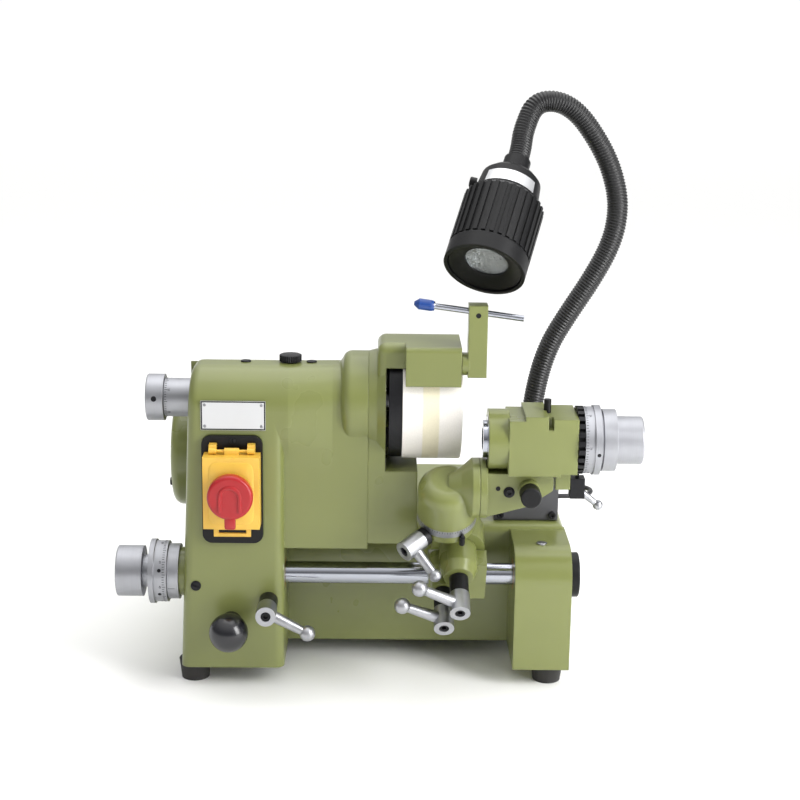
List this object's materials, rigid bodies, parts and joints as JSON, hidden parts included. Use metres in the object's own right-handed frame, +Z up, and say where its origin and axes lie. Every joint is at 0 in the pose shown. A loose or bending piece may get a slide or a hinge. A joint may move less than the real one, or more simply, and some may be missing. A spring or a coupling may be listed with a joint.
{
  "type": "tool and cutter grinder",
  "caption": "Bench tool and cutter grinder: cup wheel under a hood, slide bar with a rocking swivel carriage, indexing work head, switch box and gooseneck lamp.",
  "frame": {"origin": "centre of the footprint box on the bench", "axes": "+Z up, +X to the operator's right along the slide bar and the wheel spindle, -Y towards the operator"},
  "size_m": [0.4412, 0.3444, 0.5043],
  "materials": {
    "green_paint": "semi-gloss enamel on cast iron",
    "satin_aluminium": "satin turned",
    "ground_chrome": "ground and chromed",
    "lever_chrome": "satin chromed casting",
    "plain_steel": "ground",
    "bronze": "turned",
    "black_steel": "black oxide",
    "black_plastic": "moulded",
    "yellow_plastic": "moulded",
    "red_plastic": "moulded",
    "green_plastic": "moulded",
    "abrasive": "bonded white abrasive",
    "plate_metal": "brushed plate",
    "foot_rubber": "moulded",
    "mirror_cup": "bright",
    "lens_glass": "clear"
  },
  "bodies": {
    "frame": {"base_casting": "green_paint", "wheel_head_casting": "green_paint", "rubber_feet": "foot_rubber", "bar_bushes": "bronze", "bar_end_cap": "black_plastic", "belt_cover": "green_paint", "motor_housing": "green_paint", "motor_stator": "plain_steel", "drive_belt": "foot_rubber", "wheel_feed_sleeve": "satin_aluminium", "dial_sleeve": "satin_aluminium", "switch_plate": "black_plastic", "switch_body": "yellow_plastic", "rating_plate": "plate_metal", "fixing_screws": "plain_steel", "lamp_bracket": "black_steel", "gooseneck_nut": "black_steel", "gooseneck": "black_steel", "lamp_back_shell": "black_plastic", "lamp_shroud": "black_plastic", "lamp_reflector": "mirror_cup", "lamp_lens": "lens_glass", "lamp_lead": "foot_rubber", "cable_glands": "black_plastic"},
    "rotor": {"motor_rotor": "plain_steel"},
    "quill_unit": {"quill": "plain_steel", "spindle_bearings": "plain_steel"},
    "wheel_unit": {"wheel_spindle": "plain_steel", "wheel_clamp": "black_steel", "grinding_wheel": "abrasive"},
    "feed_knob": {"wheel_feed_knob": "satin_aluminium"},
    "lock_screw": {"quill_lock_screw": "black_steel"},
    "dial": {"feed_dial": "satin_aluminium"},
    "feed_slide": {"feed_screw": "plain_steel"},
    "bar": {"slide_bar": "ground_chrome"},
    "saddle_unit": {"saddle": "green_paint"},
    "saddle_handle": {"saddle_lever": "lever_chrome"},
    "knuckle_handle": {"knuckle_lever": "lever_chrome"},
    "knuckle_unit": {"knuckle": "green_paint", "swivel_ring": "satin_aluminium"},
    "swivel_handle": {"swivel_lever": "lever_chrome"},
    "dome": {"swivel_dome": "green_paint"},
    "head": {"head_bracket": "green_paint", "workhead_block": "green_paint"},
    "tilt_knob": {"tilt_clamp_knob": "black_plastic"},
    "work": {"work_spindle": "ground_chrome", "index_disc": "black_steel", "work_dial": "satin_aluminium", "draw_knob": "satin_aluminium"},
    "pawl": {"index_pawl": "black_steel"},
    "lock_pin": {"spindle_lock_pin": "black_steel"},
    "bar_handle": {"bar_lock_lever": "lever_chrome"},
    "plunger": {"stop_plunger": "black_plastic"},
    "dresser": {"dresser_arm": "green_paint"},
    "dresser_bar": {"dresser_rod": "ground_chrome"},
    "flap": {"switch_flap": "yellow_plastic"},
    "mushroom": {"mushroom_stop": "red_plastic"},
    "start": {"start_button": "green_plastic"},
    "stop": {"stop_button": "red_plastic"},
    "lamp_knob": {"lamp_switch": "black_plastic"}
  },
  "joints": [
    {"name": "motor_spin", "type": "hinge", "parent": "frame", "child": "rotor", "pos_m": [-0.00425, 0.0242, 0.176], "axis": [1, 0, 0], "continuous": true},
    {"name": "wheel_feed_turn", "type": "hinge", "parent": "frame", "child": "feed_knob", "pos_m": [-0.15625, -0.0623, 0.247], "axis": [-1, 0, 0], "range_deg": [-721, 721]},
    {"name": "quill_feed", "type": "slide", "parent": "frame", "child": "quill_unit", "axis": [1, 0, 0], "range_m": [-0.002, 0.002]},
    {"name": "wheel_spin", "type": "hinge", "parent": "quill_unit", "child": "wheel_unit", "pos_m": [-0.00425, -0.0623, 0.247], "axis": [1, 0, 0], "continuous": true},
    {"name": "quill_lock_turn", "type": "hinge", "parent": "frame", "child": "lock_screw", "pos_m": [-0.07125, -0.0623, 0.279], "axis": [0, 0, 1], "range_deg": [-90, 90]},
    {"name": "feed_dial_turn", "type": "hinge", "parent": "frame", "child": "dial", "pos_m": [-0.16625, -0.0778, 0.095], "axis": [-1, 0, 0], "range_deg": [-1080, 1080]},
    {"name": "bar_feed", "type": "slide", "parent": "frame", "child": "feed_slide", "axis": [1, 0, 0], "range_m": [-0.00451, 0.00451]},
    {"name": "bar_rock", "type": "hinge", "parent": "feed_slide", "child": "bar", "pos_m": [-0.00425, -0.0778, 0.095], "axis": [1, 0, 0], "range_deg": [-7, 25]},
    {"name": "saddle_travel", "type": "slide", "parent": "bar", "child": "saddle_unit", "axis": [-1, 0, 0], "range_m": [-0.023, 0.0045]},
    {"name": "saddle_clamp_turn", "type": "hinge", "parent": "saddle_unit", "child": "saddle_handle", "pos_m": [0.06075, -0.11957, 0.08785], "axis": [0, -0.8746, -0.4848], "range_deg": [-12, 60]},
    {"name": "knuckle_clamp_turn", "type": "hinge", "parent": "saddle_unit", "child": "knuckle_handle", "pos_m": [0.07325, -0.1385, 0.10137], "axis": [0, -0.8746, -0.4848], "range_deg": [-60, 12]},
    {"name": "knuckle_tilt", "type": "hinge", "parent": "saddle_unit", "child": "knuckle_unit", "pos_m": [0.07325, -0.09477, 0.12561], "axis": [0, 0.8746, 0.4848], "range_deg": [-8, 15]},
    {"name": "swivel_clamp_turn", "type": "hinge", "parent": "knuckle_unit", "child": "swivel_handle", "pos_m": [0.03417, -0.1355, 0.14076], "axis": [-0.7071, -0.6184, -0.3428], "range_deg": [-20, 20]},
    {"name": "dome_swivel", "type": "hinge", "parent": "knuckle_unit", "child": "dome", "pos_m": [0.06245, -0.11319, 0.15885], "axis": [0, -0.4848, 0.8746], "range_deg": [-45, 20]},
    {"name": "head_tilt", "type": "hinge", "parent": "dome", "child": "head", "pos_m": [0.07325, -0.13016, 0.18946], "axis": [1, 0, 0], "range_deg": [-30, 45]},
    {"name": "tilt_clamp_turn", "type": "hinge", "parent": "head", "child": "tilt_knob", "pos_m": [0.12755, -0.15716, 0.19346], "axis": [0, -1, 0], "range_deg": [-120, 120]},
    {"name": "work_spin", "type": "hinge", "parent": "head", "child": "work", "pos_m": [0.07325, -0.13016, 0.23146], "axis": [1, 0, 0], "continuous": true},
    {"name": "pawl_lift", "type": "slide", "parent": "head", "child": "pawl", "axis": [0, 0, 1], "range_m": [0, 0.0035]},
    {"name": "spindle_lock_press", "type": "slide", "parent": "head", "child": "lock_pin", "axis": [0, 0, -1], "range_m": [0, 0.003], "stiffness_N_per_m": 200},
    {"name": "bar_clamp_turn", "type": "hinge", "parent": "frame", "child": "bar_handle", "pos_m": [-0.08825, -0.1058, 0.079], "axis": [0, -1, 0], "range_deg": [-60, 60]},
    {"name": "stop_pull", "type": "slide", "parent": "frame", "child": "plunger", "axis": [0, -1, 0], "range_m": [0, 0.006], "stiffness_N_per_m": 500},
    {"name": "dresser_swing", "type": "hinge", "parent": "frame", "child": "dresser", "pos_m": [0.07225, -0.1068, 0.289], "axis": [1, 0, 0], "range_deg": [-50, 95]},
    {"name": "dresser_feed", "type": "slide", "parent": "dresser", "child": "dresser_bar", "axis": [0.9914, 0, -0.1305], "range_m": [-0.015, 0.015]},
    {"name": "flap_open", "type": "hinge", "parent": "frame", "child": "flap", "pos_m": [-0.11725, -0.1171, 0.215], "axis": [-1, 0, 0], "range_deg": [0, 110]},
    {"name": "mushroom_press", "type": "slide", "parent": "flap", "child": "mushroom", "axis": [0, 1, 0], "range_m": [0, 0.005], "stiffness_N_per_m": 300},
    {"name": "start_press", "type": "slide", "parent": "frame", "child": "start", "axis": [0, 1, 0], "range_m": [0, 0.004], "stiffness_N_per_m": 250},
    {"name": "stop_press", "type": "slide", "parent": "frame", "child": "stop", "axis": [0, 1, 0], "range_m": [0, 0.004], "stiffness_N_per_m": 250},
    {"name": "lamp_switch_turn", "type": "hinge", "parent": "frame", "child": "lamp_knob", "pos_m": [0.08463, -0.04759, 0.43125], "axis": [-0.9628, 0.1823, 0.1993], "range_deg": [0, 90]}
  ],
  "couplings": [
    {"joint": "wheel_spin", "follows": "motor_spin", "ratio": 1.8611},
    {"joint": "wheel_feed_turn", "follows": "quill_feed", "rad_per_m": 6283.2},
    {"joint": "bar_feed", "follows": "feed_dial_turn", "m_per_rad": 0.00023873}
  ]
}
